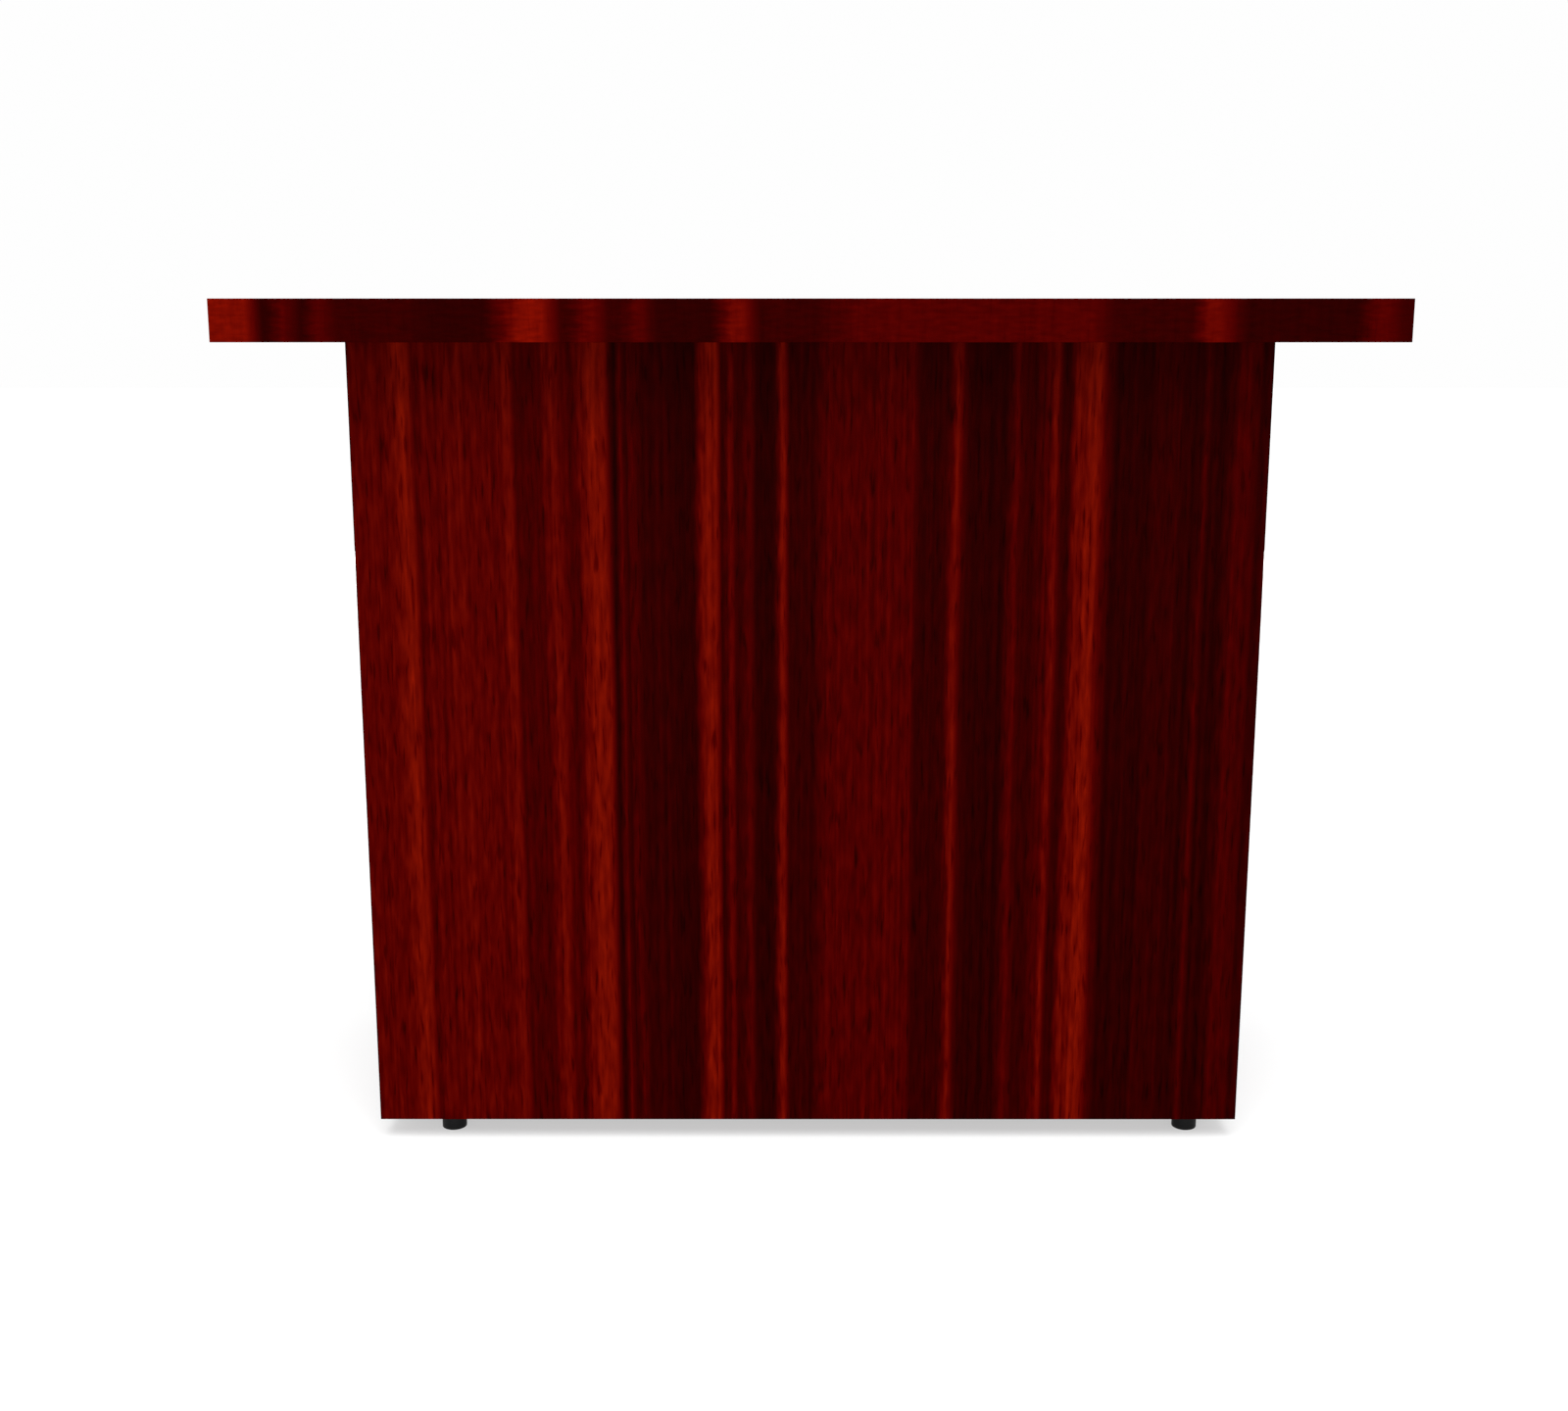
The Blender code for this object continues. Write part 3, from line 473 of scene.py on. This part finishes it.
# Where the collar's rows lie from each of its ends, and the cone that chamfers it there.
COLLAR_ROWS = np.array([0, 0.0004, 0.0010])
CONE_RADIUS, CONE_SLOPE = 0.0069, 1.5
THREAD_PITCH, THREAD_CREST, THREAD_ROOT = 0.0015, 0.0050, 0.0041
# The thread's rows, its start above the collar, the height in which it grows to its full depth,
# and the part of its wave that is cut flat at root and crest.
THREAD_ROWS, THREAD_START, THREAD_GROWTH, THREAD_FLAT = 136, 0.00005, 0.0012, 0.15
STEM_TOP, STEM_END_RADIUS = 0.0500, 0.0039
# The key socket's width across its flats, its depth, and its rows: a part of its width, and a height.
KEY_ACROSS, KEY_DEEP = 0.005, 0.006
KEY_ROWS = np.array([(1.08, 0), (1.0, -0.0003), (1.0, -KEY_DEEP), (0.1, -KEY_DEEP)])
# Dust is rubbed into the pad's rim up to this height.
DUSTY_RIM = 0.0022
PLASTIC_BLACK, PLASTIC_GREY = (0.0042, 0.0042, 0.0044, 1.0), (0.0062, 0.0062, 0.0063, 1.0)
PLASTIC_DUST = (0.018, 0.017, 0.016, 1.0)


def six_sided(turn, across):
    """A hexagon's radius: half its width across flats over the cosine of the turn from the nearest flat."""
    return across / 2 / np.cos((turn + np.pi / 6) % (np.pi / 3) - np.pi / 6)


def stem_surface():
    """Radius and height of the stem's rows, from its ball to the floor of its key socket.

    The collar is a hexagon cut by a cone at each end. The thread's radius goes from root to crest and back
    with each pitch of height, and starts later as it goes round, so it is right-handed.
    """
    turn = np.linspace(0, 2 * np.pi, STEM_COLUMNS, endpoint=False)
    ball_radius, ball_height = carried_round(softened(BALL_PROFILE, BALL_ROUNDING), STEM_COLUMNS)
    collar_height = np.concatenate([COLLAR_UNDER + COLLAR_ROWS, COLLAR_TOP - COLLAR_ROWS[::-1]])[:, None]
    from_end = np.minimum(collar_height - COLLAR_UNDER, COLLAR_TOP - collar_height)
    collar = np.minimum(six_sided(turn, COLLAR_ACROSS), CONE_RADIUS + from_end * CONE_SLOPE)
    thread_height = np.linspace(COLLAR_TOP + THREAD_START, STEM_TOP, THREAD_ROWS)[:, None]
    wave = 1 - np.abs(2 * ((thread_height / THREAD_PITCH - turn / (2 * np.pi)) % 1) - 1)
    grown = np.clip((thread_height - COLLAR_TOP) / THREAD_GROWTH, 0, 1)
    rise = np.clip(wave * (1 + 2 * THREAD_FLAT) - THREAD_FLAT, 0, 1) * grown
    thread = THREAD_ROOT + (THREAD_CREST - THREAD_ROOT) * rise
    thread = np.minimum(thread, STEM_END_RADIUS + STEM_TOP - thread_height)
    socket = six_sided(turn, KEY_ACROSS) * KEY_ROWS[:, :1]
    radius = np.concatenate([ball_radius, collar, thread, socket])
    upper_height = np.concatenate([collar_height, thread_height, STEM_TOP + KEY_ROWS[:, 1:]])
    return radius, np.concatenate([ball_height, np.tile(upper_height, STEM_COLUMNS)])


def moulded_plastic():
    """Black moulded plastic: a fine even grain, a little colour in it, and dust rubbed into the lower rim."""
    material, place, shader = new_finish("black_moulded_plastic", {"Specular IOR Level": 0.06})
    grain = place.node("ShaderNodeTexNoise", {}, {"Vector": place, "Scale": 1800.0, "Detail": 2.0})
    cloud = place.node("ShaderNodeTexNoise", {}, {"Vector": place, "Scale": 120.0, "Detail": 3.0})
    height = place.node("ShaderNodeSeparateXYZ", {}, {"Vector": place}, Z)
    rubbed = (DUSTY_RIM - height).between(0.0, DUSTY_RIM) * cloud
    stops = [(0.0, PLASTIC_BLACK), (0.5, PLASTIC_GREY), (1.0, PLASTIC_DUST)]
    tone = cloud * 0.5 + grain * 0.25 + rubbed * 0.6
    place.node("ShaderNodeValToRGB", {"stops": stops}, {"Fac": tone}).feed(shader, "Base Color")
    (0.40 + grain * 0.10 + cloud * 0.10 + rubbed * 0.2).feed(shader, "Roughness")
    sockets = {"Height": grain, "Strength": 0.25, "Distance": 0.0001}
    place.node("ShaderNodeBump", {}, sockets).feed(shader, "Normal")
    return material


black_plastic = moulded_plastic()
upright = (0, 0, 1)
sleeve_radius, sleeve_height = carried_round(
    softened(SLEEVE_PROFILE, SLEEVE_ROUNDING, closed=True), SLEEVE_COLUMNS)
pad_radius, pad_height = carried_round(softened(PAD_PROFILE, PAD_ROUNDING), PAD_COLUMNS)
stem_radius, stem_height = stem_surface()
for foot in ("front_left", "front_right", "rear_left", "rear_right"):
    stand = underside(f"foot_pad_{foot}")
    sleeve = turned(
        f"threaded_sleeve_{foot}", sleeve_radius, sleeve_height, stand, upright, die_cast_zinc, ring=True)
    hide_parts(f"foot_insert_{foot}")
    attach(sleeve, "cabinet")
    stem = turned(f"levelling_screw_{foot}", stem_radius, stem_height, stand, upright, bright_steel)
    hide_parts(f"foot_stem_{foot}")
    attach(stem, f"stem_{foot}")
    pad = turned(f"moulded_pad_{foot}", pad_radius, pad_height, stand, upright, black_plastic)
    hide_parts(f"foot_pad_{foot}")
    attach(pad, f"pad_{foot}")

# Studio.
# A pale floor without an edge in sight, even white light from all round, one broad soft light from above
# and in front, and a low white panel on each side. The rear panel is the strongest, for the open back.
FLOOR_HALF = 25
FLOOR_GREY, FLOOR_GLOW = 0.33, 0.50
ROOM_LIGHT = 0.99
OVERHEAD_LIGHT, OVERHEAD_SPREAD, OVERHEAD_TILT = 3.4, math.radians(44), math.radians(28)
PANEL_POWER = {"front": 185, "left": 185, "rear": 430, "right": 185}
PANEL_LONG, PANEL_HIGH, PANEL_AWAY, PANEL_LIFT = 6.0, 0.8, 6.0, 0.05
# The camera stands straight in front, as high as the desk top, and looks down a little.
CAMERA_SENSOR, CAMERA_LENS = 36, 43.322
CAMERA_PLACE = (-0.0300, -2.5357, 1.0562)
CAMERA_DIP, CAMERA_TURN = math.radians(11.738), math.radians(0.031)

scene = bpy.context.scene
floor_line = np.linspace(-FLOOR_HALF, FLOOR_HALF, 3)
floor_point = np.stack(np.meshgrid(floor_line, floor_line, [0.0]), -1).reshape(-1, 3)
first = np.array([0, 1, 3, 4])
floor_face = np.stack([first, first + 1, first + 4, first + 3], 1)
floor_mesh = bpy.data.meshes.new("studio_floor")
floor_mesh.from_pydata(floor_point.tolist(), [], floor_face.tolist())
floor_mesh.materials.append(new_finish("floor_paint", {
    "Base Color": (FLOOR_GREY, FLOOR_GREY, FLOOR_GREY, 1), "Specular IOR Level": 0.0,
    "Emission Color": (1, 1, 1, 1), "Emission Strength": FLOOR_GLOW,
})[0])
floor = bpy.data.objects.new("studio_floor", floor_mesh)
scene.collection.objects.link(floor)

room = bpy.data.worlds.new("studio_white")
room.use_nodes = True
room.node_tree.nodes["Background"].inputs["Color"].default_value = (1, 1, 1, 1)
room.node_tree.nodes["Background"].inputs["Strength"].default_value = ROOM_LIGHT
scene.world = room

overhead = bpy.data.lights.new("overhead_light", "SUN")
overhead.energy = OVERHEAD_LIGHT
overhead.angle = OVERHEAD_SPREAD
overhead_stand = bpy.data.objects.new("overhead_light", overhead)
overhead_stand.rotation_euler = (OVERHEAD_TILT, 0, 0)
scene.collection.objects.link(overhead_stand)

for number, (way, power) in enumerate(PANEL_POWER.items()):
    panel = bpy.data.lights.new(f"{way}_panel", "AREA")
    panel.shape = "RECTANGLE"
    panel.size, panel.size_y = PANEL_LONG, PANEL_HIGH
    panel.energy = power
    bearing = -number * math.pi / 2
    panel_stand = bpy.data.objects.new(f"{way}_panel", panel)
    panel_stand.location = (
        PANEL_AWAY * math.sin(bearing), -PANEL_AWAY * math.cos(bearing), PANEL_HIGH / 2 + PANEL_LIFT)
    panel_stand.rotation_euler = (math.pi / 2, 0, bearing)
    scene.collection.objects.link(panel_stand)

scene.view_settings.view_transform = "Standard"

camera = bpy.data.cameras.new("camera")
camera.sensor_width = CAMERA_SENSOR
camera.lens = CAMERA_LENS
camera_stand = bpy.data.objects.new("camera", camera)
camera_stand.location = CAMERA_PLACE
camera_stand.rotation_euler = (math.pi / 2 - CAMERA_DIP, 0, CAMERA_TURN)
scene.collection.objects.link(camera_stand)
scene.camera = camera_stand
